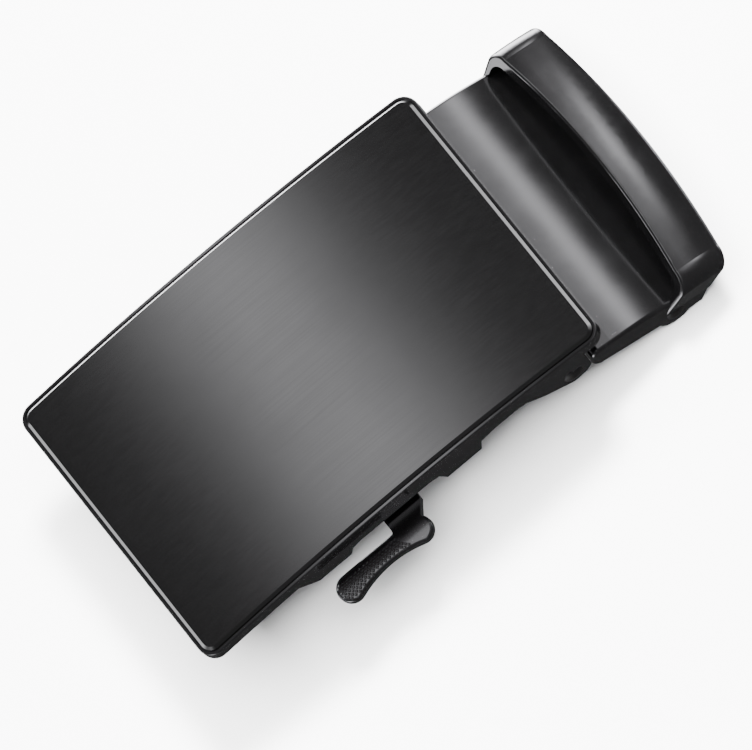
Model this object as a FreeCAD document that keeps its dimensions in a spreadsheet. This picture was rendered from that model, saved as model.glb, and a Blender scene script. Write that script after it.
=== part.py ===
"""Automatic (ratchet) belt buckle for a 35 mm strap, built as separate pieces.

Frame, in millimetres: +X runs along the strap from its entry towards the tail clamp, +Y across the
strap away from the release lever, +Z out of the polished face.  The origin is the middle of the
face's length and width, on the plane that the back of the strap slides on.
"""
import FreeCAD, Part
import os
import Sketcher

from FreeCAD import Placement, Rotation, Vector

SIZES = {
    # Face: an arched tray with a thin rim, and a polished inlay glued into it.
    "plate_length": 64.2,
    "plate_overhang": 1.0,
    "arch_rise": 2.4,
    "corner_radius": 2.2,
    "tray_height": 2.1,
    "rim_width": 0.42,
    "rim_rounding": 0.2,
    "recess_depth": 0.8,
    "inlay_gap": 0.16,
    "inlay_thickness": 1.1,
    "inlay_bevel": 0.38,
    "adhesive_thickness": 0.1,
    "adhesive_inset": 0.8,
    # Strap channel.
    "strap_width": 35.0,
    "strap_side_clearance": 0.7,
    "mouth_height": 2.7,
    # Housing behind the face.
    "wall_thickness": 1.6,
    "wall_inset": 12.5,
    "entry_bar_start": 15.2,
    "entry_bar_end": 10.1,
    "entry_bar_thickness": 1.4,
    "rear_bar_start": 5.3,
    "rear_bar_end": 10.8,
    "rear_bar_thickness": 2.3,
    "wall_step": 0.7,
    "wall_sill": 0.45,
    "ear_run": 7.4,
    "ear_shoulder_drop": 2.2,
    "bar_rounding": 0.45,
    "ear_pad_length": 2.4,
    "ear_pad_height": 3.4,
    "ear_pad_proud": 0.22,
    "ear_pad_margin": 0.15,
    # Rivets that hold the tray to the housing.
    "rivet_radius": 0.5,
    "rivet_head_radius": 0.76,
    "rivet_head_height": 0.35,
    "rivet_bite": 0.5,
    "rivet_entry_place": 12.6,
    "rivet_rear_place": 8.0,
    # Hinge between the housing and the tail clamp.
    "hinge_inset": 6.5,
    "hinge_depth": 3.0,
    "ear_radius": 2.15,
    "ear_reach": 2.6,
    "hinge_pin_radius": 0.8,
    "hinge_head_radius": 1.4,
    "hinge_head_height": 0.4,
    "running_clearance": 0.05,
    "side_clearance": 0.2,
    # Release lever and its pivot.
    "pivot_inset": 2.0,
    "pivot_depth": 1.6,
    "lever_pin_radius": 0.6,
    "lug_length": 2.3,
    "lug_width": 3.2,
    "lug_depth": 2.9,
    "pin_share_of_lug": 0.8,
    "hub_radius": 1.15,
    "hub_gap": 0.12,
    "spring_room": 3.4,
    "arm_left": 4.9,
    "arm_right": 2.2,
    "arm_thickness": 1.15,
    "arm_top": 0.95,
    "arm_reach": 4.8,
    "arm_root_left": 7.1,
    "arm_root_length": 5.5,
    "arm_root_gap": 0.15,
    "stop_width": 5.6,
    "stop_reach": 1.5,
    "stop_thickness": 0.7,
    "stop_gap": 0.04,
    "stop_lap": 0.4,
    "stem_left": 4.35,
    "stem_right": 1.1,
    "neck_right": 0.35,
    "stem_top": 0.62,
    "tab_thickness": 1.6,
    "tab_gap": 0.55,
    "tab_far_lobe": 12.8,
    "tab_near_lobe": 1.5,
    "far_lobe_radius": 1.9,
    "near_lobe_radius": 1.8,
    "waist_angle": 20.0,
    "tab_rounding": 0.4,
    "tab_lap": 0.3,
    "stem_flare": 0.8,
    "stem_wall_gap": 0.2,
    # Steel pawl on the lever.
    "pawl_thickness": 0.5,
    "pawl_width": 9.0,
    "tooth_run": 2.6,
    "tooth_land": 0.3,
    "tooth_rise": 0.5,
    "pawl_front_edge": 0.9,
    "pawl_rivet_radius": 0.5,
    "pawl_rivet_head": 0.85,
    "pawl_rivet_spacing": 5.2,
    # Torsion spring on the lever's pin.
    "spring_wire_radius": 0.17,
    "spring_coil_radius": 0.86,
    "spring_turns": 6.0,
    "spring_leg": 4.2,
    "spring_anchor": 1.6,
    # Tail clamp, in its own tilted frame with the hinge axis as origin.
    "clamp_tilt": 14.0,
    "clamp_wall": 2.0,
    "clamp_skin": 1.1,
    "clamp_face": 1.6,
    "clamp_bend_start": 6.0,
    "clamp_bend_radius": 36.0,
    "clamp_bend_end": 15.0,
    "clamp_face_end": 21.3,
    "clamp_rounding": 0.5,
    "cheek_start": 2.95,
    "cheek_bottom": 2.3,
    "cheek_rounding": 1.1,
    "wall_bottom_rear": 3.9,
    "knuckle_radius": 1.55,
    "jaw_pin_place": 15.7,
    "jaw_pin_depth": 3.2,
    "boss_radius": 2.5,
    "boss_front": 2.4,
    "boss_rear": 2.0,
    "boss_rear_drop": 1.5,
    "tail_bottom": 4.7,
    "tail_bottom_end": 19.7,
    # Keeper loop over the clamp's face.
    "loop_start": 15.1,
    "loop_length": 7.2,
    "loop_lean": 26.0,
    "loop_dip": 7.0,
    "loop_height": 4.2,
    "loop_crown": 2.6,
    "loop_skin": 1.2,
    "loop_flare": 0.7,
    "loop_barrel": 0.3,
    "loop_corner": 2.4,
    "loop_rounding": 0.5,
    "loop_root": 1.8,
    # Toothed jaw that grips the strap's fixed end.
    "jaw_pin_radius": 0.75,
    "jaw_barrel": 1.45,
    "jaw_plate": 1.0,
    "jaw_free_end": 3.7,
    "jaw_inner": 2.35,
    "jaw_tooth_pitch": 1.6,
    "jaw_tooth_height": 0.8,
    "jaw_first_tooth": 6.6,
    "jaw_pin_head_radius": 1.25,
    "jaw_pin_head_height": 0.35,
}

# Sizes that follow from others.
DERIVED = {
    "clamp_width": "dim.strap_width + 2 * (dim.strap_side_clearance + dim.wall_thickness)",
    "plate_width": "fit.clamp_width + 2 * dim.plate_overhang",
    "hinge_place": "dim.plate_length / 2 - dim.hinge_inset",
    "ear_slope_start": "fit.hinge_place - dim.ear_run",
    "wall_start": "dim.plate_length / 2 - dim.wall_inset",
}

ARCH = "((dim.plate_length^2 / 4 + dim.arch_rise^2) / (2 * dim.arch_rise))"
CROWN = "(dim.mouth_height + dim.tray_height + dim.arch_rise)"
UNDERSIDE = "(dim.mouth_height + dim.arch_rise)"
CHANNEL = "(dim.strap_width / 2 + dim.strap_side_clearance)"
OUTER = f"({CHANNEL} + dim.wall_thickness)"
PIVOT_Y = f"(dim.pivot_inset - {CHANNEL})"
KNUCKLE = f"({CHANNEL} - dim.side_clearance)"
SPRING_START = "(dim.wall_step - dim.entry_bar_end)"

doc = FreeCAD.newDocument("buckle")


def make_sheet():
    sheet = doc.addObject("Spreadsheet::Sheet", "dim")
    for row, (name, size) in enumerate(SIZES.items(), start=1):
        sheet.set(f"A{row}", name)
        sheet.set(f"B{row}", str(size))
        sheet.setAlias(f"B{row}", name)
    doc.recompute()
    return sheet


def make_derived():
    derived = doc.addObject("App::FeaturePython", "fit")
    for name, expression in DERIVED.items():
        derived.addProperty("App::PropertyFloat", name)
        derived.setExpression(name, expression)
        doc.recompute()
    return derived


sheet = make_sheet()
derived = make_derived()
reader = doc.addObject("App::FeaturePython", "reader")
reader.addProperty("App::PropertyFloat", "reading")


def number(expression):
    """The value of an expression of the sheet's sizes."""
    reader.setExpression("reading", expression)
    doc.recompute([reader])
    return reader.reading


def bind(piece, expressions):
    for name, expression in expressions.items():
        piece.setExpression(name, expression)
    return piece


def drop(x):
    """How far the face's arch has fallen at a distance x from the middle."""
    return f"({ARCH} - sqrt({ARCH}^2 - ({x})^2))"


# Sketches and the features made from them.

def body(name):
    return doc.addObject("PartDesign::Body", name)


def sketch_on(owner, role, name, offset=None):
    sketch = owner.newObject("Sketcher::SketchObject", name)
    plane = [datum for datum in owner.Origin.OriginFeatures if datum.Role == role][0]
    sketch.AttachmentSupport = [(plane, "")]
    sketch.MapMode = "FlatFace"
    if offset:
        sketch.setExpression("AttachmentOffset.Base.z", offset)
    return sketch


def fix_point(sketch, geometry, end, x, y):
    """Holds one end of an edge at a place given by two expressions."""
    for kind, expression in (("DistanceX", x), ("DistanceY", y)):
        place = Sketcher.Constraint(kind, -1, 1, geometry, end, number(expression))
        index = sketch.addConstraint(place)
        sketch.setExpression(f"Constraints[{index}]", expression)


def outline(sketch, corners, arcs=None):
    """A closed outline through the corners.

    arcs gives, for the edge that leaves a corner, its radius and +1 or -1 for the side it bulges
    to: +1 is to the right of the way from that corner to the next.
    """
    arcs = arcs or {}
    points = [Vector(number(x), number(y), 0) for x, y in corners]
    count = len(points)
    first = sketch.GeometryCount
    for i, start in enumerate(points):
        end = points[(i + 1) % count]
        edge = Part.LineSegment(start, end)
        if i in arcs:
            radius, side = number(arcs[i][0]), arcs[i][1]
            chord = end - start
            half = chord.Length / 2
            height = radius - (radius ** 2 - half ** 2) ** 0.5
            outward = Vector(chord.y, -chord.x, 0).normalize() * side
            edge = Part.Arc(start, (start + end) / 2 + outward * height, end)
        sketch.addGeometry(edge, False)
    for i in range(count):
        following = (i + 1) % count
        tail, head = edge_ends(i, arcs), edge_ends(following, arcs)
        joint = ("Coincident", first + i, tail[1], first + following, head[0])
        sketch.addConstraint(Sketcher.Constraint(*joint))
        fix_point(sketch, first + i, tail[0], *corners[i])
        if i in arcs:
            curve = Sketcher.Constraint("Radius", first + i, number(arcs[i][0]))
            sketch.setExpression(f"Constraints[{sketch.addConstraint(curve)}]", arcs[i][0])
    return sketch


def edge_ends(i, arcs):
    """The sketch's own numbers for an edge's first and last point: an arc is kept anticlockwise."""
    return (2, 1) if i in arcs and arcs[i][1] < 0 else (1, 2)


def rectangle(sketch, left, bottom, right, top):
    return outline(sketch, [(left, bottom), (right, bottom), (right, top), (left, top)])


def pad(owner, sketch, length, midplane=False, reverse=False):
    feature = owner.newObject("PartDesign::Pad", sketch.Name + "_pad")
    feature.Profile = sketch
    feature.SideType = "Symmetric" if midplane else "One side"
    feature.Reversed = reverse
    feature.setExpression("Length", length)
    doc.recompute()
    return feature


def pocket(owner, sketch, length, midplane=False, reverse=False):
    before = owner.Shape.Volume
    feature = owner.newObject("PartDesign::Pocket", sketch.Name + "_cut")
    feature.Profile = sketch
    feature.SideType = "Symmetric" if midplane else "One side"
    feature.Reversed = reverse
    feature.setExpression("Length", length)
    doc.recompute()
    if owner.Shape.Volume > before - 1e-6:
        raise ValueError(f"{feature.Name} removes nothing")
    return feature


def edges_where(shape, test):
    return [f"Edge{i}" for i, edge in enumerate(shape.Edges, start=1) if test(edge)]


def soften(owner, kind, size, test):
    """A fillet or chamfer of a body's edges that pass the test."""
    base = owner.Tip
    feature = owner.newObject(kind, f"{owner.Name}_{kind.split('::')[1]}_{len(owner.Group)}")
    feature.Base = (base, edges_where(base.Shape, test))
    feature.setExpression("Radius" if kind.endswith("Fillet") else "Size", size)
    doc.recompute()
    return feature


def is_upright(edge):
    start, end = edge.Vertexes[0].Point, edge.Vertexes[-1].Point
    return abs(start.x - end.x) < 1e-4 and abs(start.y - end.y) < 1e-4 and edge.Length > 1e-3


def runs_across(edge, x=None, z=None):
    start, end = edge.Vertexes[0].Point, edge.Vertexes[-1].Point
    straight = abs(start.x - end.x) < 1e-4 and abs(start.z - end.z) < 1e-4
    at_x = x is None or abs(start.x - x) < 1e-3
    at_z = z is None or abs(start.z - z) < 1e-3
    return straight and at_x and at_z and edge.Length > 1.0


# Solids made from primitives and joined.

def rod(name, axis, radius, length, x="0", y="0", z="0"):
    """A cylinder that starts at x, y, z and runs along an axis."""
    turns = {"X": Rotation(Vector(0, 1, 0), 90), "Y": Rotation(Vector(1, 0, 0), -90), "Z": Rotation()}
    piece = doc.addObject("Part::Cylinder", name)
    piece.Placement = Placement(Vector(), turns[axis])
    places = {"Placement.Base.x": x, "Placement.Base.y": y, "Placement.Base.z": z}
    return bind(piece, {"Radius": radius, "Height": length, **places})


def block(name, corner, size):
    piece = doc.addObject("Part::Box", name)
    names = ("Placement.Base.x", "Placement.Base.y", "Placement.Base.z", "Length", "Width", "Height")
    return bind(piece, dict(zip(names, (*corner, *size))))


def fuse(name, pieces):
    joined = doc.addObject("Part::MultiFuse", name)
    joined.Shapes = pieces
    joined.Refine = True
    return joined


def cut(name, base, tool):
    rest = doc.addObject("Part::Cut", name)
    rest.Base = base
    rest.Tool = tool
    rest.Refine = True
    return rest


def common(name, first, second):
    shared = doc.addObject("Part::MultiCommon", name)
    shared.Shapes = [first, second]
    return shared


def group(name, pieces):
    together = doc.addObject("Part::Compound", name)
    together.Links = pieces
    return together


def dome(name, radius, height, x, face, z, side):
    """A domed head on a face across Y; side is the sign of the way that it bulges."""
    ball_radius = f"((({radius})^2 + ({height})^2) / (2 * {height}))"
    ball = doc.addObject("Part::Sphere", name + "_ball")
    bind(ball, {"Radius": ball_radius, "Placement.Base.x": x, "Placement.Base.z": z,
                "Placement.Base.y": f"{face} + ({side}) * ({height} - {ball_radius})"})
    start = face if side > 0 else f"{face} - {height}"
    return common(name, ball, rod(name + "_blank", "Y", radius, height, x, start, z))


def tilt(piece, angle="dim.clamp_tilt", x="fit.hinge_place", z="-dim.hinge_depth"):
    """Turns a piece about Y and carries its own origin to x, z."""
    piece.Placement = Placement(Vector(), Rotation(Vector(0, 1, 0), number(angle)))
    places = {"Placement.Rotation.Angle": angle, "Placement.Base.x": x, "Placement.Base.z": z}
    return bind(piece, places)


# The face.

def arched_slab(name, length, width, corner, crown, thickness):
    """A slab bent to the face's arch; crown is the height of its top at the middle."""
    half = f"({length}) / 2"
    end = f"({crown}) - {drop(half)}"
    low = f"{end} - ({thickness})"
    slab = body(name)
    section = sketch_on(slab, "XZ_Plane", name + "_section")
    corners = [(f"-{half}", low), (half, low), (half, end), (f"-{half}", end)]
    outline(section, corners, {0: (ARCH, -1), 2: (ARCH, 1)})
    pad(slab, section, width, midplane=True)
    if corner:
        soften(slab, "PartDesign::Fillet", corner, is_upright)
    return slab


def top_edges(crown, thickness):
    """A test for the edges around the top of an arched slab."""
    arch = number(ARCH)
    middle = number(f"{crown} - ({thickness}) / 2")

    def is_top(edge):
        spot = edge.valueAt((edge.FirstParameter + edge.LastParameter) / 2)
        fallen = arch - (arch ** 2 - spot.x ** 2) ** 0.5
        return spot.z + fallen > middle and not is_upright(edge)

    return is_top


def make_face_tray():
    tray = arched_slab("tray", "dim.plate_length", "fit.plate_width", "dim.corner_radius",
                       CROWN, "dim.tray_height")
    soften(tray, "PartDesign::Fillet", "dim.rim_rounding", top_edges(CROWN, "dim.tray_height"))
    recess = arched_slab("recess", "dim.plate_length - 2 * dim.rim_width",
                         "fit.plate_width - 2 * dim.rim_width", "dim.corner_radius - dim.rim_width",
                         f"{CROWN} + dim.recess_depth", "2 * dim.recess_depth")
    return cut("face_tray", cut("tray_shell", tray, recess), rivet_shanks("tray_rivet_hole"))


def inside_rim(inset):
    """The length and width that fit inside the rim with a gap all round."""
    side = f"2 * (dim.rim_width + {inset})"
    return f"dim.plate_length - {side}", f"fit.plate_width - {side}"


def make_face_inlay():
    crown = f"({CROWN} - dim.recess_depth + dim.adhesive_thickness + dim.inlay_thickness)"
    corner = "dim.corner_radius - dim.rim_width - dim.inlay_gap"
    inlay = arched_slab("face_inlay", *inside_rim("dim.inlay_gap"), corner, crown,
                        "dim.inlay_thickness")
    soften(inlay, "PartDesign::Chamfer", "dim.inlay_bevel", top_edges(crown, "dim.inlay_thickness"))
    return inlay


def make_inlay_adhesive():
    crown = f"{CROWN} - dim.recess_depth + dim.adhesive_thickness"
    return arched_slab("inlay_adhesive", *inside_rim("dim.adhesive_inset"), None, crown,
                       "dim.adhesive_thickness")


# The housing.

def make_housing():
    housing = body("housing")
    profile = sketch_on(housing, "XZ_Plane", "wall_profile")
    top_start = f"{UNDERSIDE} - {drop('fit.wall_start')}"
    end = "(fit.hinge_place + dim.ear_reach)"
    top_end = f"{UNDERSIDE} - {drop(end)}"
    entry = "-dim.entry_bar_thickness"
    rear = "-dim.rear_bar_thickness"
    ear_low = "-dim.hinge_depth - dim.ear_radius"
    ear_start = "(fit.ear_slope_start + dim.ear_shoulder_drop)"
    corners = [
        ("-fit.wall_start", top_start),
        ("-fit.wall_start", f"{top_start} - dim.wall_step"),
        ("-dim.entry_bar_start", entry),
        ("-dim.entry_bar_end", entry),
        ("dim.wall_step - dim.entry_bar_end", "0"),
        ("3 * dim.wall_step - dim.entry_bar_end", "dim.wall_sill"),
        ("dim.rear_bar_start - 3 * dim.wall_step", "dim.wall_sill"),
        ("dim.rear_bar_start - dim.wall_step", "0"),
        ("dim.rear_bar_start", rear),
        ("dim.rear_bar_end", rear),
        ("dim.rear_bar_end + dim.wall_step", "0"),
        ("dim.rear_bar_end + 4 * dim.wall_step", "dim.wall_sill"),
        ("fit.ear_slope_start - dim.wall_step", "dim.wall_sill"),
        ("fit.ear_slope_start + dim.wall_step", "0"),
        (f"{ear_start} + dim.wall_step", rear),
        ("fit.hinge_place - dim.ear_radius / 3", ear_low),
        ("fit.hinge_place + dim.ear_radius / 3", ear_low),
        (end, "-dim.hinge_depth - dim.ear_radius / 3"),
        (end, top_end),
    ]
    arcs = {15: ("dim.ear_radius * 1.2", 1), 16: ("dim.ear_radius", 1), 18: (ARCH, 1)}
    outline(profile, corners, arcs)
    pad(housing, profile, f"2 * {OUTER}", midplane=True)
    channel = sketch_on(housing, "YZ_Plane", "channel")
    rectangle(channel, f"-{CHANNEL}", "0", CHANNEL, f"{CROWN}")
    pocket(housing, channel, "2 * dim.plate_length", midplane=True)
    opening = sketch_on(housing, "XY_Plane", "hinge_opening")
    rectangle(opening, "dim.rear_bar_end + dim.wall_step", f"-{CHANNEL}",
              "dim.plate_length", CHANNEL)
    pocket(housing, opening, "4 * dim.hinge_depth", midplane=True)
    add_ear_pads(housing)
    channel_width = number(CHANNEL)

    def is_bar_edge(edge):
        return runs_across(edge, z=0) and edge.Length > channel_width

    soften(housing, "PartDesign::Fillet", "dim.bar_rounding", is_bar_edge)
    return housing


def add_ear_pads(housing):
    """A raised pad on the outer face of each ear, above the hinge pin's head."""
    for side, reverse in (("near", False), ("far", True)):
        sign = "" if reverse else "-"
        face = sketch_on(housing, "XZ_Plane", side + "_ear_pad")
        face.setExpression("AttachmentOffset.Base.z", f"{'-' if reverse else ''}{OUTER}")
        right = "fit.hinge_place + dim.ear_reach - dim.ear_pad_margin"
        bottom = "-dim.hinge_depth + dim.hinge_head_radius + dim.ear_pad_margin"
        rectangle(face, f"{right} - dim.ear_pad_length", bottom, right,
                  f"{bottom} + dim.ear_pad_height")
        pad(housing, face, "dim.ear_pad_proud", reverse=reverse)


def make_lugs():
    """Two lugs under the crossbars that carry the lever's pin."""
    low = "-dim.lug_depth"
    near = f"-{CHANNEL}"
    tall = ("dim.lug_length", "dim.lug_width", "dim.lug_depth")
    entry = block("entry_lug", ("-dim.entry_bar_end - dim.lug_length", near, low), tall)
    rear = block("rear_lug", ("dim.rear_bar_start", near, low), tall)
    return [entry, rear]


def rivet_places():
    side = f"({CHANNEL} + dim.wall_thickness / 2)"
    return [(x, y, low) for x, low in (("-dim.rivet_entry_place", "-dim.entry_bar_thickness"),
                                       ("dim.rivet_rear_place", "-dim.rear_bar_thickness"))
            for y in (side, f"-{side}")]


def rivet_shanks(name):
    shanks = []
    for i, (x, y, low) in enumerate(rivet_places()):
        top = f"{UNDERSIDE} - {drop(x)} + dim.rivet_bite"
        shanks.append(rod(f"{name}_{i}", "Z", "dim.rivet_radius", f"{top} - ({low})", x, y, low))
    return group(name, shanks)


def countersunk_rivets(name):
    """Shanks with countersunk heads flush with the underside of the crossbars."""
    rivets = []
    for i, (x, y, low) in enumerate(rivet_places()):
        top = f"{UNDERSIDE} - {drop(x)} + dim.rivet_bite"
        shank = rod(f"{name}_shank_{i}", "Z", "dim.rivet_radius", f"{top} - ({low})", x, y, low)
        head = doc.addObject("Part::Cone", f"{name}_head_{i}")
        bind(head, {"Radius1": "dim.rivet_head_radius", "Radius2": "dim.rivet_radius",
                    "Height": "dim.rivet_head_height", "Placement.Base.x": x,
                    "Placement.Base.y": y, "Placement.Base.z": low})
        rivets.append(fuse(f"{name}_{i}", [shank, head]))
    return group(name, rivets)


def make_housing_frame():
    solid = fuse("housing_solid", [make_housing(), *make_lugs()])
    bores = [
        countersunk_rivets("housing_rivet_holes"),
        rod("ear_bore", "Y", "dim.hinge_pin_radius", "2 * fit.plate_width", "fit.hinge_place",
            "-fit.plate_width", "-dim.hinge_depth"),
        pin_on_pivot("lug_bore"),
        spring_anchor("anchor_hole"),
    ]
    return cut("housing_frame", solid, group("housing_bores", bores))


# The lever, its pin and spring, and the pawl.

def pin_on_pivot(name, radius="dim.lever_pin_radius"):
    bite = "dim.lug_length * dim.pin_share_of_lug"
    start = f"-dim.entry_bar_end - {bite}"
    length = f"dim.entry_bar_end + dim.rear_bar_start + 2 * {bite}"
    return rod(name, "X", radius, length, start, PIVOT_Y, "-dim.pivot_depth")


def spring_anchor(name):
    """The straight end of the spring that sits in the entry lug."""
    return rod(name, "X", "dim.spring_wire_radius", "dim.spring_anchor",
               f"{SPRING_START} + dim.spring_wire_radius - dim.spring_anchor", PIVOT_Y,
               "-dim.pivot_depth - dim.spring_coil_radius")


def make_tab():
    """The thumb tab: two round lobes joined by a waist, beside the face's edge."""
    inner = "(fit.plate_width / 2 + dim.tab_gap)"
    far_x, far_r = "dim.tab_far_lobe", "dim.far_lobe_radius"
    near_x, near_r = "dim.tab_near_lobe", "dim.near_lobe_radius"
    aside, down = "sin(dim.waist_angle * 1deg)", "cos(dim.waist_angle * 1deg)"
    waist_start = f"({far_x} - {far_r} * {aside})"
    waist_end = f"({near_x} + {near_r} * {aside})"
    tab = body("tab")
    face = sketch_on(tab, "XY_Plane", "tab_outline", "-dim.stem_top - dim.tab_thickness")
    corners = [
        (f"-{far_x}", f"-{inner}"),
        (f"-{far_x} - {far_r}", f"-{inner} - {far_r}"),
        (f"-{waist_start}", f"-{inner} - {far_r} * (1 + {down})"),
        (f"-{waist_end}", f"-{inner} - {near_r} * (1 + {down})"),
        (f"{near_r} - {near_x}", f"-{inner} - {near_r}"),
        (f"-{near_x}", f"-{inner}"),
    ]
    waist_radius = f"({waist_start} - {waist_end}) / (2 * {aside})"
    arcs = {0: (far_r, 1), 1: (far_r, 1), 2: (waist_radius, -1), 3: (near_r, 1), 4: (near_r, 1)}
    outline(face, corners, arcs)
    pad(tab, face, "dim.tab_thickness")
    soften(tab, "PartDesign::Fillet", "dim.tab_rounding", lambda edge: not is_upright(edge))
    return tab


def make_stem():
    """The stem from the hub out to the tab, flared on its left where it meets the tab."""
    stem = body("stem")
    plan = sketch_on(stem, "XY_Plane", "stem_outline", "-dim.stem_top - dim.tab_thickness")
    root = PIVOT_Y
    wall = f"-({OUTER} + dim.stem_wall_gap)"
    inner = "-(fit.plate_width / 2 + dim.tab_gap"
    tip = f"{inner} + dim.tab_rounding + dim.tab_lap)"
    flare_start = f"{inner} + dim.tab_rounding - dim.stem_flare)"
    flare_end = f"{inner} + dim.tab_rounding)"
    left, right = "-dim.stem_left", "dim.stem_right"
    flared = "-dim.stem_left - dim.stem_flare"
    corners = [(left, root), (left, flare_start), (flared, flare_end), (flared, tip),
               ("-dim.neck_right", tip), (right, wall), (right, root)]
    outline(plan, corners, {1: ("dim.stem_flare", -1)})
    pad(stem, plan, "dim.tab_thickness")
    return stem


def make_release_lever():
    low = "-dim.arm_top - dim.arm_thickness"
    hub_left = f"({SPRING_START} + dim.spring_room)"
    hub_length = f"dim.rear_bar_start - dim.wall_step - dim.hub_gap - {hub_left}"
    hub = rod("hub", "X", "dim.hub_radius", hub_length, hub_left, PIVOT_Y, "-dim.pivot_depth")
    arm = block("arm", ("-dim.arm_left", PIVOT_Y, low),
                ("dim.arm_left + dim.arm_right", f"dim.arm_reach - {PIVOT_Y}", "dim.arm_thickness"))
    root_start = f"({PIVOT_Y} + dim.hub_radius + dim.arm_root_gap)"
    root = block("arm_root", ("-dim.arm_root_left", root_start, low),
                 ("dim.arm_root_left", "dim.arm_root_length", "dim.arm_thickness"))
    stop_left = "-dim.entry_bar_end - dim.stop_reach"
    stop_low = "-dim.entry_bar_thickness - dim.stop_gap - dim.stop_thickness"
    stop = block("stop", (stop_left, "-dim.stop_width / 2", stop_low),
                 (f"-dim.arm_left + dim.stop_lap - ({stop_left})", "dim.stop_width",
                  "dim.stop_thickness"))
    solid = fuse("lever_solid", [hub, arm, root, stop, make_tab(), make_stem()])
    bore = pin_on_pivot("lever_bore", "dim.lever_pin_radius + dim.running_clearance")
    tools = group("lever_bores", [bore, *pawl_rivet_shanks("arm_rivet_hole")])
    return cut("release_lever", solid, tools)


def make_pawl():
    """A steel plate with one tooth: steep towards the clamp, sloping towards the strap's entry."""
    pawl = body("pawl")
    section = sketch_on(pawl, "XZ_Plane", "pawl_section")
    low, flat = "-dim.arm_top", "-dim.arm_top + dim.pawl_thickness"
    back = "-dim.arm_left"
    edge = "dim.pawl_front_edge"
    corners = [(back, low), (edge, low), (edge, "dim.tooth_rise"),
               (f"{edge} - dim.tooth_land", "dim.tooth_rise"), (f"{edge} - dim.tooth_run", flat),
               (back, flat)]
    outline(section, corners)
    pad(pawl, section, "dim.pawl_width", midplane=True)
    return cut("pawl_plate", pawl, group("pawl_holes", pawl_rivet_shanks("pawl_rivet_hole")))


def pawl_rivet_shanks(name):
    place = "(dim.pawl_front_edge - dim.tooth_run - dim.arm_left) / 2"
    low = "-dim.arm_top - dim.arm_thickness"
    length = "dim.arm_thickness + dim.pawl_thickness"
    return [rod(f"{name}_{side}", "Z", "dim.pawl_rivet_radius", length, place,
                f"{sign} * dim.pawl_rivet_spacing / 2", low)
            for side, sign in (("near", -1), ("far", 1))]


def make_pawl_rivets():
    place = "(dim.pawl_front_edge - dim.tooth_run - dim.arm_left) / 2"
    low = "-dim.arm_top - dim.arm_thickness - dim.rivet_head_height"
    rivets = []
    for shank, sign in zip(pawl_rivet_shanks("pawl_rivet_shank"), (-1, 1)):
        head = rod(shank.Name + "_head", "Z", "dim.pawl_rivet_head", "dim.rivet_head_height",
                   place, f"{sign} * dim.pawl_rivet_spacing / 2", low)
        rivets.append(fuse(shank.Name + "_whole", [shank, head]))
    return group("pawl_rivets", rivets)


def make_lever_spring():
    """A torsion spring: a close coil on the pin, one end in the lug and one under the arm."""
    wire, coil = number("dim.spring_wire_radius"), number("dim.spring_coil_radius")
    turns, leg = number("dim.spring_turns"), number("dim.spring_leg")
    start = number(SPRING_START) + wire
    length = number("dim.spring_room - dim.hub_gap") - 2 * wire
    helix = Part.makeHelix(length / turns, length, coil)
    profile = Part.Wire(Part.makeCircle(wire, Vector(coil, 0, 0), Vector(0, 1, 0)))
    turned = Part.Wire(helix).makePipeShell([profile], True, True)
    origin = Vector(start, number(PIVOT_Y), -number("dim.pivot_depth"))
    along_x = Placement(origin, Rotation(Vector(0, 1, 0), 90))
    turned = turned.copy()
    turned.Placement = along_x
    end = origin + Vector(length, -wire, -coil)
    arm_end = Part.makeCylinder(wire, leg + wire, end, Vector(0, 1, 0))
    anchor_length = number("dim.spring_anchor")
    anchor_start = origin + Vector(-anchor_length, 0, -coil)
    anchor = Part.makeCylinder(wire, anchor_length, anchor_start, Vector(1, 0, 0))
    elbow = Part.makeSphere(wire, origin + Vector(0, 0, -coil))
    spring = doc.addObject("Part::Feature", "lever_spring")
    spring.Shape = turned.fuse([arm_end, anchor, elbow])
    return spring


# The hinge and the tail clamp.

def headed_pin(name, radius, head_radius, head_height, half, x, z):
    """A pin across the buckle with a domed head on each side."""
    shank = rod(name + "_shank", "Y", radius, f"2 * {half}", x, f"-{half}", z)
    near = dome(name + "_near_head", head_radius, head_height, x, f"-{half}", z, -1)
    far = dome(name + "_far_head", head_radius, head_height, x, half, z, 1)
    return fuse(name, [shank, near, far])


def make_hinge_pin():
    return headed_pin("hinge_pin", "dim.hinge_pin_radius", "dim.hinge_head_radius",
                      "dim.hinge_head_height", OUTER, "fit.hinge_place", "-dim.hinge_depth")


def face_fall(x):
    """How far the clamp's face has fallen at x, past the start of its bend."""
    run = f"(({x}) - dim.clamp_bend_start)"
    return f"(dim.clamp_bend_radius - sqrt(dim.clamp_bend_radius^2 - {run}^2))"


def face_tail_fall():
    """The face runs on straight from the end of its bend, at the slope it has there."""
    run = "(dim.clamp_bend_end - dim.clamp_bend_start)"
    slope = f"({run} / sqrt(dim.clamp_bend_radius^2 - {run}^2))"
    return f"({face_fall('dim.clamp_bend_end')} + (dim.clamp_face_end - dim.clamp_bend_end) * {slope})"


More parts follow.
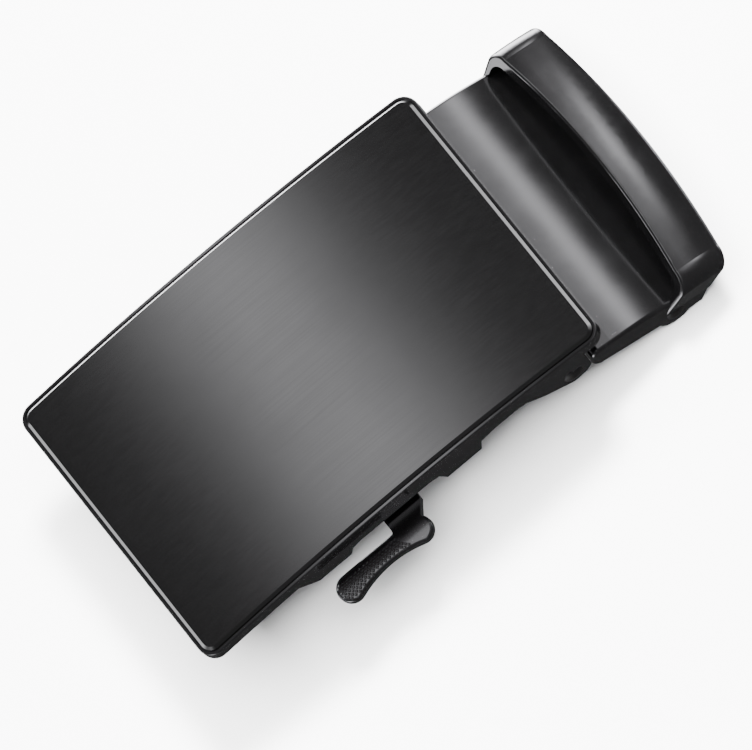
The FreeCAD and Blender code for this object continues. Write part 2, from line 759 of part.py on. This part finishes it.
def make_clamp_shell():
    shell = body("clamp_shell")
    side = sketch_on(shell, "XZ_Plane", "clamp_side")
    bend_z = f"dim.clamp_face - {face_fall('dim.clamp_bend_end')}"
    tail_z = f"dim.clamp_face - {face_tail_fall()}"
    pin_x, pin_z = "dim.jaw_pin_place", "-dim.jaw_pin_depth"
    rounding = "dim.cheek_rounding"
    corners = [
        (f"dim.cheek_start + {rounding}", "dim.clamp_face"),
        ("dim.cheek_start", f"dim.clamp_face - {rounding}"),
        ("dim.cheek_start", f"-dim.cheek_bottom + {rounding}"),
        (f"dim.cheek_start + {rounding}", "-dim.cheek_bottom"),
        (f"{pin_x} - dim.boss_front", "-dim.wall_bottom_rear"),
        (f"{pin_x} + dim.boss_rear", f"{pin_z} - dim.boss_rear_drop"),
        ("dim.tail_bottom_end", "-dim.tail_bottom"),
        ("dim.clamp_face_end", tail_z),
        ("dim.clamp_bend_end", bend_z),
        ("dim.clamp_bend_start", "dim.clamp_face"),
    ]
    arcs = {0: (rounding, 1), 4: ("dim.boss_radius", 1), 8: ("dim.clamp_bend_radius", 1)}
    outline(side, corners, arcs)
    pad(shell, side, "fit.clamp_width", midplane=True)
    half, nose = number("fit.clamp_width / 2"), number(f"{rounding} - dim.cheek_bottom")
    ends = number("dim.cheek_start"), number("dim.clamp_face_end")

    def is_face_side(edge):
        spot = edge.valueAt((edge.FirstParameter + edge.LastParameter) / 2)
        on_side = abs(abs(spot.y) - half) < 1e-4
        on_front = abs(spot.x - ends[0]) < 1e-4
        on_face = spot.x < ends[1] and spot.z > nose and edge.Vertexes[0].Z > number(tail_z) - 1e-3
        return on_side and (on_front or on_face)

    soften(shell, "PartDesign::Fillet", "dim.clamp_rounding", is_face_side)
    inside = sketch_on(shell, "XZ_Plane", "clamp_inside")
    skin = "dim.clamp_skin"
    low = "-2 * dim.tail_bottom"
    left, right = "0", "2 * dim.clamp_face_end"
    corners = [
        (left, low),
        (right, low),
        (right, f"{tail_z} - {skin} - (dim.clamp_face_end) * 0.25"),
        ("dim.clamp_face_end", f"{tail_z} - {skin}"),
        ("dim.clamp_bend_end", f"{bend_z} - {skin}"),
        ("dim.clamp_bend_start", f"dim.clamp_face - {skin}"),
        (left, f"dim.clamp_face - {skin}"),
    ]
    outline(inside, corners, {4: ("dim.clamp_bend_radius", 1)})
    pocket(shell, inside, "fit.clamp_width - 2 * dim.clamp_wall", midplane=True)
    return shell


def make_knuckle():
    """The barrel on the hinge pin and the web that joins it to the clamp's face."""
    width = f"2 * {KNUCKLE}"
    barrel = rod("barrel", "Y", "dim.knuckle_radius", width, "0", f"-{KNUCKLE}", "0")
    web = block("web", ("0", f"-{KNUCKLE}", "dim.clamp_face - dim.clamp_skin"),
                ("dim.clamp_bend_start", width, "dim.clamp_skin"))
    return [barrel, web]


def hoop_outline(sketch, foot_half, foot, top, corner):
    """A hoop from half its width and the level at its foot, the shoulder's level and corners."""
    crown = "(((fit.clamp_width / 2)^2 + dim.loop_crown^2) / (2 * dim.loop_crown))"
    half = f"({foot_half} + dim.loop_flare)"
    corners = [(f"-{foot_half}", foot), (foot_half, foot), (half, f"{top} - {corner}"),
               (f"{half} - {corner}", top), (f"{corner} - {half}", top),
               (f"-{half}", f"{top} - {corner}")]
    outline(sketch, corners, {2: (corner, 1), 3: (crown, 1), 4: (corner, 1)})


def dipped_sketch(owner, name, along="0"):
    """A sketch across the band, square to its dip, at a distance along it from its middle."""
    sketch = sketch_on(owner, "YZ_Plane", name)
    sketch.AttachmentOffset = Placement(Vector(), Rotation(Vector(1, 0, 0), 1))
    middle = "dim.loop_start + dim.loop_height * tan(dim.loop_lean * 1deg) + dim.loop_length / 2"
    bind(sketch, {"AttachmentOffset.Rotation.Angle": "dim.loop_dip",
                  "AttachmentOffset.Base.y": f"-({along}) * sin(dim.loop_dip * 1deg)",
                  "AttachmentOffset.Base.z": f"{middle} + ({along}) * cos(dim.loop_dip * 1deg)"})
    return sketch


def make_loop():
    """The keeper loop: an arched, slightly barrelled band on two legs that lean to the tail."""
    loop = body("loop")
    foot = "-2 * dim.loop_root"
    sections = []
    for name, place in (("front", -1), ("middle", 0), ("rear", 1)):
        section = dipped_sketch(loop, f"loop_{name}", f"{place} * dim.loop_length")
        level = f"(dim.loop_height + dim.loop_barrel * {1 - 4 * place ** 2})"
        hoop_outline(section, "(fit.clamp_width / 2)", foot, level, "dim.loop_corner")
        sections.append(section)
    barrel = loop.newObject("PartDesign::AdditiveLoft", "loop_barrel")
    barrel.Profile = sections[0]
    barrel.Sections = sections[1:]
    doc.recompute()
    slope = number("tan(dim.loop_lean * 1deg)")
    lean = "tan(dim.loop_lean * 1deg)"
    tall, deep = "3 * dim.loop_height", "dim.loop_root"
    rear = "dim.loop_start + dim.loop_length"
    side = sketch_on(loop, "XZ_Plane", "loop_side")
    rectangle(side, "-dim.loop_length", "-3 * dim.loop_root", "2 * dim.plate_length",
              "2 * dim.plate_length")
    outline(side, [(f"dim.loop_start - {deep} * {lean}", f"-{deep}"),
                   (f"{rear} - {deep} * {lean}", f"-{deep}"),
                   (f"{rear} + {tall} * {lean}", tall),
                   (f"dim.loop_start + {tall} * {lean}", tall)])
    pocket(loop, side, "2 * fit.clamp_width", midplane=True)
    starts = [number("dim.loop_start"), number(rear)]
    bottom = number("-dim.loop_root")

    def is_rim(edge):
        ends = [vertex.Point for vertex in edge.Vertexes]
        on_rim = any(all(abs(end.x - start - end.z * slope) < 1e-3 for end in ends)
                     for start in starts)
        return on_rim and any(end.z > bottom + 1e-3 for end in ends)

    soften(loop, "PartDesign::Fillet", "dim.loop_rounding", is_rim)
    hole = dipped_sketch(loop, "loop_hole")
    hoop_outline(hole, "(fit.clamp_width / 2 - dim.loop_skin)", "2 * " + foot,
                 "(dim.loop_height - dim.loop_skin)", "(dim.loop_corner - dim.loop_skin / 3)")
    pocket(loop, hole, "4 * dim.loop_length", midplane=True)
    return loop


def across_clamp(name, radius, x="0", z="0"):
    return rod(name, "Y", radius, "2 * fit.clamp_width", x, "-fit.clamp_width", z)


def make_clamp_body():
    solid = fuse("clamp_solid", [make_clamp_shell(), *make_knuckle(), make_loop()])
    bores = group("clamp_bores", [
        across_clamp("knuckle_bore", "dim.hinge_pin_radius + dim.running_clearance"),
        across_clamp("jaw_pin_hole", "dim.jaw_pin_radius", "dim.jaw_pin_place",
                     "-dim.jaw_pin_depth")])
    return tilt(cut("clamp_body", solid, bores))


def make_clamp_jaw():
    """A flap that turns on the jaw pin; its ridges bite the strap's fixed end."""
    jaw = body("jaw")
    section = sketch_on(jaw, "XZ_Plane", "jaw_section")
    top = "-dim.jaw_inner"
    low = "-dim.jaw_inner - dim.jaw_plate"
    pitch, height = "dim.jaw_tooth_pitch", "dim.jaw_tooth_height"
    corners = [("dim.jaw_free_end", low), ("dim.jaw_pin_place", low), ("dim.jaw_pin_place", top)]
    for tooth in (3, 2, 1, 0):
        foot = f"dim.jaw_first_tooth + {tooth} * {pitch}"
        corners += [(f"{foot} + {pitch}", top), (f"{foot} + {pitch} * 0.85", f"{top} + {height}")]
    corners += [("dim.jaw_first_tooth", top), ("dim.jaw_free_end", top)]
    outline(section, corners)
    width = "fit.clamp_width - 2 * dim.clamp_wall - 2 * dim.side_clearance"
    pad(jaw, section, width, midplane=True)
    barrel = rod("jaw_roll", "Y", "dim.jaw_barrel", width, "dim.jaw_pin_place",
                 f"-({width}) / 2", "-dim.jaw_pin_depth")
    solid = fuse("jaw_solid", [jaw, barrel])
    bore = across_clamp("jaw_bore", "dim.jaw_pin_radius + dim.running_clearance",
                        "dim.jaw_pin_place", "-dim.jaw_pin_depth")
    return tilt(cut("clamp_jaw", solid, bore))


def make_jaw_pin():
    return tilt(headed_pin("jaw_pin", "dim.jaw_pin_radius", "dim.jaw_pin_head_radius",
                           "dim.jaw_pin_head_height", "(fit.clamp_width / 2)",
                           "dim.jaw_pin_place", "-dim.jaw_pin_depth"))


def main():
    pieces = {
        "face_tray": make_face_tray(),
        "face_inlay": make_face_inlay(),
        "inlay_adhesive": make_inlay_adhesive(),
        "housing_frame": make_housing_frame(),
        "housing_rivets": countersunk_rivets("housing_rivets"),
        "release_lever": make_release_lever(),
        "pawl_plate": make_pawl(),
        "pawl_rivets": make_pawl_rivets(),
        "lever_pin": pin_on_pivot("lever_pin"),
        "lever_spring": make_lever_spring(),
        "hinge_pin": make_hinge_pin(),
        "clamp_body": make_clamp_body(),
        "clamp_jaw": make_clamp_jaw(),
        "jaw_pin": make_jaw_pin(),
    }
    doc.recompute()
    for thing in doc.Objects:
        if "Invalid" in thing.State or "Error" in thing.State:
            raise ValueError(f"{thing.Name} is {thing.State}")
    os.makedirs("parts", exist_ok=True)
    for name, piece in pieces.items():
        piece.Label = name
        if piece.Shape.isNull() or not piece.Shape.isValid():
            raise ValueError(f"{name} has no valid shape")
        print(f"{name}: {len(piece.Shape.Solids)} solid(s), {piece.Shape.Volume:.1f} mm3")
        piece.Shape.exportStep(f"parts/{name}.step")


main()
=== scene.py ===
"""Automatic belt buckle: materials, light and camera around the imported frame. Units are metres."""
import math

import bmesh
import bpy
from mathutils import Matrix, Vector


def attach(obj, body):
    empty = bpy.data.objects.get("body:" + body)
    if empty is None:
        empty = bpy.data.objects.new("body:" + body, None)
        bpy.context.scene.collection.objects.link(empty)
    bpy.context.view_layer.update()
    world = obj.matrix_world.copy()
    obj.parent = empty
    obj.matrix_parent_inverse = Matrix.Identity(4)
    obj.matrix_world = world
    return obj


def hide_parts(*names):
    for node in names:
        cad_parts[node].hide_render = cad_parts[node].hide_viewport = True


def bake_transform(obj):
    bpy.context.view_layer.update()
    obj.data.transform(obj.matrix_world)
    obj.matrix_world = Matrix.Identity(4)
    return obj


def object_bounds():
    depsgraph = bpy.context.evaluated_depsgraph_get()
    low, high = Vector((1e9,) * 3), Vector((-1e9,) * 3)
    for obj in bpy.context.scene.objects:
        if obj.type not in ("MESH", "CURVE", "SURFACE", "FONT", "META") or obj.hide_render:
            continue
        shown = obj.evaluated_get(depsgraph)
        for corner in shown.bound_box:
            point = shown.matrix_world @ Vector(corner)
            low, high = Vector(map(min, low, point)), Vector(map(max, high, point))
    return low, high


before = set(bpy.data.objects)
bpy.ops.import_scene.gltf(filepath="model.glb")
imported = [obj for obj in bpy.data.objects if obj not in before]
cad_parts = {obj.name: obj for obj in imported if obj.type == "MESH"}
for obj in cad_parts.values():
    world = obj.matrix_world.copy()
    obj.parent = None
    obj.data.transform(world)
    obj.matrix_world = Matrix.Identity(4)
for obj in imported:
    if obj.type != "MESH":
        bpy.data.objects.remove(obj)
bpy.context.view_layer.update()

MM = 0.001

# Camera: how far the view leans from straight above the face, and how far it is turned.
VIEW_ASIDE = math.radians(3.503)
VIEW_LEAN = math.radians(19.726)
VIEW_ROLL = math.radians(-38.706)
VIEW_DISTANCE = 1612.5 * MM
VIEW_LENS = 615.5
AIM_RIGHT = 7.289 * MM
AIM_UP = 1.071 * MM
FLOOR_GAP = 0.2 * MM

# Lights: power in watts, size and place in metres.
KEY_POWER = 52.0
KEY_SIZE = 0.2
KEY_PLACE = (0.35, 0.3, 0.75)
FILL_POWER = 82.0
FILL_SIZE = 1.0
FILL_PLACE = (0.0, 0.1, 1.0)


# Node helpers.

class Graph:
    """A material's node tree, with short calls for the nodes used here."""

    def __init__(self, name):
        self.material = bpy.data.materials.new(name)
        self.material.use_nodes = True
        self.tree = self.material.node_tree
        self.tree.nodes.clear()
        self.output = self.add("ShaderNodeOutputMaterial")
        self.shader = self.add("ShaderNodeBsdfPrincipled")
        self.link(self.shader, "BSDF", self.output, "Surface")
        self.place = self.add("ShaderNodeTexCoord")

    def add(self, kind, **settings):
        node = self.tree.nodes.new(kind)
        for name, value in settings.items():
            setattr(node, name, value)
        return node

    def link(self, source, output, target, socket):
        self.tree.links.new(source.outputs[output], target.inputs[socket])

    def set(self, **values):
        for name, value in values.items():
            self.shader.inputs[name.replace("_", " ")].default_value = value

    def noise(self, scale, detail=3.0, stretch=None, roughness=0.5):
        texture = self.add("ShaderNodeTexNoise")
        texture.inputs["Scale"].default_value = scale
        texture.inputs["Detail"].default_value = detail
        texture.inputs["Roughness"].default_value = roughness
        if stretch:
            mapping = self.add("ShaderNodeMapping")
            mapping.inputs["Scale"].default_value = stretch
            self.link(self.place, "Object", mapping, "Vector")
            self.link(mapping, "Vector", texture, "Vector")
        else:
            self.link(self.place, "Object", texture, "Vector")
        return texture

    def ramp(self, source, output, low, high, dark, light):
        """Maps a texture's range low to high onto two colours."""
        ramp = self.add("ShaderNodeValToRGB")
        ramp.color_ramp.elements[0].position = low
        ramp.color_ramp.elements[1].position = high
        ramp.color_ramp.elements[0].color = (*dark, 1.0)
        ramp.color_ramp.elements[1].color = (*light, 1.0)
        self.link(source, output, ramp, "Fac")
        return ramp

    def span(self, source, output, low, high, start, end):
        """Maps a texture's range low to high onto two numbers."""
        span = self.add("ShaderNodeMapRange")
        for name, value in (("From Min", low), ("From Max", high), ("To Min", start),
                            ("To Max", end)):
            span.inputs[name].default_value = value
        self.link(source, output, span, "Value")
        return span

    def bump(self, source, output, strength, depth):
        bump = self.add("ShaderNodeBump")
        bump.inputs["Strength"].default_value = strength
        bump.inputs["Distance"].default_value = depth
        self.link(source, output, bump, "Height")
        self.link(bump, "Normal", self.shader, "Normal")
        return bump


def grey(level, tint=0.0):
    return (level, level * (1 - tint * 0.3), level * (1 + tint))


def plated_casting():
    """Black-nickel plating on a polished zinc casting."""
    g = Graph("black_nickel_casting")
    g.set(Metallic=0.995)
    cloud = g.noise(240.0, 4.0)
    g.link(g.ramp(cloud, "Fac", 0.3, 0.7, grey(0.17, 0.03), grey(0.20, 0.03)), "Color", g.shader,
           "Base Color")
    g.link(g.span(cloud, "Fac", 0.3, 0.7, 0.11, 0.15), "Result", g.shader, "Roughness")
    grain = g.noise(2600.0, 2.0)
    g.bump(grain, "Fac", 0.03, 0.00001)
    return g.material


def mirror_inlay():
    """Mirror-polished black plate with the faintest lengthwise polishing lines."""
    g = Graph("mirror_black_plate")
    g.set(Metallic=1.0)
    cloud = g.noise(90.0, 3.0)
    g.link(g.ramp(cloud, "Fac", 0.3, 0.7, grey(0.21, 0.02), grey(0.23, 0.02)), "Color", g.shader,
           "Base Color")
    lines = g.noise(60.0, 2.0, stretch=(1.0, 60.0, 60.0))
    g.link(g.span(lines, "Fac", 0.3, 0.7, 0.13, 0.17), "Result", g.shader, "Roughness")
    g.bump(lines, "Fac", 0.02, 0.00001)
    return g.material


def blackened_steel():
    g = Graph("blackened_steel")
    g.set(Metallic=1.0)
    cloud = g.noise(500.0, 3.0)
    g.link(g.ramp(cloud, "Fac", 0.3, 0.7, grey(0.12), grey(0.2)), "Color", g.shader, "Base Color")
    g.link(g.span(cloud, "Fac", 0.3, 0.7, 0.25, 0.4), "Result", g.shader, "Roughness")
    return g.material


def hardened_steel():
    g = Graph("hardened_steel")
    g.set(Metallic=1.0)
    lines = g.noise(900.0, 3.0, stretch=(1.0, 12.0, 1.0))
    g.link(g.ramp(lines, "Fac", 0.3, 0.7, grey(0.34), grey(0.46)), "Color", g.shader, "Base Color")
    g.link(g.span(lines, "Fac", 0.3, 0.7, 0.28, 0.4), "Result", g.shader, "Roughness")
    return g.material


def adhesive_film():
    g = Graph("adhesive_film")
    cloud = g.noise(700.0, 3.0)
    g.link(g.ramp(cloud, "Fac", 0.3, 0.7, grey(0.1), grey(0.16)), "Color", g.shader, "Base Color")
    g.link(g.span(cloud, "Fac", 0.3, 0.7, 0.5, 0.7), "Result", g.shader, "Roughness")
    return g.material


def pale_floor():
    g = Graph("pale_floor")
    cloud = g.noise(2.0, 2.0)
    g.link(g.ramp(cloud, "Fac", 0.3, 0.7, grey(0.86), grey(0.88)), "Color", g.shader, "Base Color")
    g.link(g.span(cloud, "Fac", 0.3, 0.7, 0.75, 0.85), "Result", g.shader, "Roughness")
    g.set(Specular_IOR_Level=0.1)
    return g.material


MATERIALS = {
    "face_tray": plated_casting,
    "face_inlay": mirror_inlay,
    "inlay_adhesive": adhesive_film,
    "housing_frame": plated_casting,
    "housing_rivets": blackened_steel,
    "release_lever": plated_casting,
    "pawl_plate": hardened_steel,
    "pawl_rivets": blackened_steel,
    "lever_pin": blackened_steel,
    "hinge_pin": blackened_steel,
    "clamp_body": plated_casting,
    "clamp_jaw": plated_casting,
    "jaw_pin": blackened_steel,
}


def paint_nodes():
    made = {}
    for node, recipe in MATERIALS.items():
        if recipe not in made:
            made[recipe] = recipe()
        mesh_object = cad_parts[node]
        for material_slot in mesh_object.material_slots:
            material_slot.link = "OBJECT"
            material_slot.material = made[recipe]


# Knurling on the thumb tab, cut as rows of small pyramids. Sizes are in millimetres.

TAB_TOP = -0.62
TAB_INNER = -21.35
FAR_LOBE = (-12.8, -23.25, 1.9)
NEAR_LOBE_X = -1.5
WAIST_MIDDLE = -7.13
WAIST_RADIUS = 14.66
WAIST_CENTRE = -38.72
KNURL_PITCH = 0.46
KNURL_HEIGHT = 0.2
KNURL_SUNK = 0.03
KNURL_END = -3.9
KNURL_MARGIN = 0.35
KNURL_SMOOTH_EDGE = 0.75
KNURL_END_GAP = 1.0
KNURL_END_SLANT = 0.5
LOBE_REACH = 0.4
CREST_SHARE = 0.8


def is_knurled(x, y):
    """Whether a place on the tab's face is inside its knurled field."""
    if y > TAB_INNER - KNURL_SMOOTH_EDGE:
        return False
    if x + KNURL_END_SLANT * (y - TAB_INNER) > KNURL_END - KNURL_END_GAP:
        return False
    lobe_x, lobe_y, lobe_radius = FAR_LOBE
    if x < lobe_x + LOBE_REACH:
        return math.hypot(x - lobe_x, y - lobe_y) < lobe_radius - KNURL_MARGIN
    aside = x - WAIST_MIDDLE
    return y > WAIST_CENTRE + math.sqrt(WAIST_RADIUS ** 2 - aside ** 2) + KNURL_MARGIN


def cut_knurl():
    lobe_x, lobe_y, lobe_radius = FAR_LOBE
    reach = int(2 * (NEAR_LOBE_X - lobe_x + 2 * lobe_radius) / KNURL_PITCH)
    half = KNURL_PITCH / math.sqrt(2)
    mesh = bmesh.new()
    for row in range(-reach, reach):
        for column in range(-reach, reach):
            x = lobe_x + (row + column) * half
            y = lobe_y + (row - column) * half
            if not is_knurled(x, y):
                continue
            low, high = TAB_TOP - KNURL_SUNK, TAB_TOP + KNURL_HEIGHT
            foot = [(x + half, y), (x, y + half), (x - half, y), (x, y - half)]
            foot = [mesh.verts.new((px * MM, py * MM, low * MM)) for px, py in foot]
            peak = Vector((x * MM, y * MM, high * MM))
            crest = [mesh.verts.new(corner.co.lerp(peak, CREST_SHARE)) for corner in foot]
            for i in range(4):
                following = (i + 1) % 4
                mesh.faces.new((foot[i], foot[following], crest[following], crest[i]))
            mesh.faces.new(crest)
    data = bpy.data.meshes.new("tab_knurl")
    mesh.to_mesh(data)
    mesh.free()
    knurl = bpy.data.objects.new("tab_knurl", data)
    bpy.context.scene.collection.objects.link(knurl)
    data.materials.append(plated_casting())
    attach(knurl, "lever")


# The lever's torsion spring.


def wind_spring():
    """The spring's wire, coiled from the frame's lug to the lever's arm, copied from the CAD spring.
    """
    wire = bpy.data.objects.new("spring_wire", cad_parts["lever_spring"].data.copy())
    bpy.context.scene.collection.objects.link(wire)
    wire.matrix_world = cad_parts["lever_spring"].matrix_world
    wire.data.materials.clear()
    wire.data.materials.append(hardened_steel())
    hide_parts("lever_spring")
    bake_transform(wire)


# Stage: floor, light and camera.

def lay_floor():
    low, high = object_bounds()
    centre = (low + high) / 2
    bpy.ops.mesh.primitive_plane_add(size=3.0, location=(centre.x, centre.y, low.z - FLOOR_GAP))
    floor = bpy.context.object
    floor.name = "floor"
    floor.data.materials.append(pale_floor())
    floor.visible_glossy = False


def area_light(name, power, size, place):
    data = bpy.data.lights.new(name, "AREA")
    data.energy = power
    data.size = size
    light = bpy.data.objects.new(name, data)
    bpy.context.scene.collection.objects.link(light)
    light.location = place
    light.rotation_mode = "QUATERNION"
    light.rotation_quaternion = (-Vector(place)).to_track_quat("-Z", "X")
    light.visible_glossy = False


class Sky:
    """The studio around the buckle: soft patches of light, each a bell-shaped glow."""

    def __init__(self):
        world = bpy.data.worlds.new("studio")
        bpy.context.scene.world = world
        world.use_nodes = True
        self.tree = world.node_tree
        self.tree.nodes.clear()
        output = self.tree.nodes.new("ShaderNodeOutputWorld")
        self.background = self.tree.nodes.new("ShaderNodeBackground")
        self.tree.links.new(self.background.outputs[0], output.inputs[0])
        place = self.tree.nodes.new("ShaderNodeTexCoord")
        split = self.tree.nodes.new("ShaderNodeSeparateXYZ")
        self.tree.links.new(place.outputs["Generated"], split.inputs[0])
        self.axes = dict(zip("xyz", split.outputs))

    def math(self, operation, *values):
        node = self.tree.nodes.new("ShaderNodeMath")
        node.operation = operation
        for socket, value in zip(node.inputs, values):
            if isinstance(value, (int, float)):
                socket.default_value = value
            else:
                self.tree.links.new(value, socket)
        return node.outputs[0]

    def bell(self, brightness, **extents):
        """A glow whose extents give its centre and half-width along x, y or z."""
        total = None
        for axis, (centre, width) in extents.items():
            offset = self.math("DIVIDE", self.math("SUBTRACT", self.axes[axis], centre), width)
            square = self.math("MULTIPLY", offset, offset)
            total = square if total is None else self.math("ADD", total, square)
        return self.math("MULTIPLY", self.math("EXPONENT", self.math("MULTIPLY", total, -0.7)),
                         brightness)

    def light_up(self, dim_level, glows):
        total = dim_level
        for glow in glows:
            total = self.math("ADD", glow, total)
        self.tree.links.new(total, self.background.inputs["Strength"])


def studio_sky():
    sky = Sky()
    overhead = sky.bell(1.35, x=(-0.062, 0.10), y=(0.3, 0.6), z=(0.9, 0.5))
    tail_box = sky.bell(2.5, x=(0.57, 0.048), y=(0.35, 0.21), z=(0.75, 0.35))
    tail_wash = sky.bell(1.0, x=(0.46, 0.08), y=(0.33, 0.4), z=(0.85, 0.3))
    far_glow = sky.bell(20.0, y=(0.97, 0.10), z=(-0.2, 0.35))
    tail_glow = sky.bell(5.0, x=(0.96, 0.05), y=(0.34, 0.3), z=(0.05, 0.2))
    side_glow = sky.bell(6.0, x=(-0.75, 0.2), y=(-0.5, 0.18), z=(-0.35, 0.25))
    head_glow = sky.bell(4.0, x=(-0.95, 0.06), y=(0.34, 0.3), z=(-0.1, 0.3))
    sky.light_up(0.10, [overhead, tail_box, tail_wash, far_glow, tail_glow, side_glow, head_glow])


def set_camera():
    lean = math.cos(VIEW_LEAN)
    back = Vector((math.sin(VIEW_ASIDE) * lean, -math.sin(VIEW_LEAN), math.cos(VIEW_ASIDE) * lean))
    level = Vector((0, 1, 0)).cross(back).normalized()
    upright = back.cross(level)
    right = level * math.cos(VIEW_ROLL) + upright * math.sin(VIEW_ROLL)
    up = upright * math.cos(VIEW_ROLL) - level * math.sin(VIEW_ROLL)
    data = bpy.data.cameras.new("camera")
    data.lens = VIEW_LENS
    data.clip_start = 0.05
    data.clip_end = 10.0
    camera = bpy.data.objects.new("camera", data)
    bpy.context.scene.collection.objects.link(camera)
    aim = right * AIM_RIGHT + up * AIM_UP
    camera.matrix_world = Matrix.Translation(aim + back * VIEW_DISTANCE) @ Matrix(
        (right, up, back)).transposed().to_4x4()
    bpy.context.scene.camera = camera


paint_nodes()
cut_knurl()
wind_spring()
lay_floor()
studio_sky()
area_light("key", KEY_POWER, KEY_SIZE, KEY_PLACE)
area_light("fill", FILL_POWER, FILL_SIZE, FILL_PLACE)
set_camera()
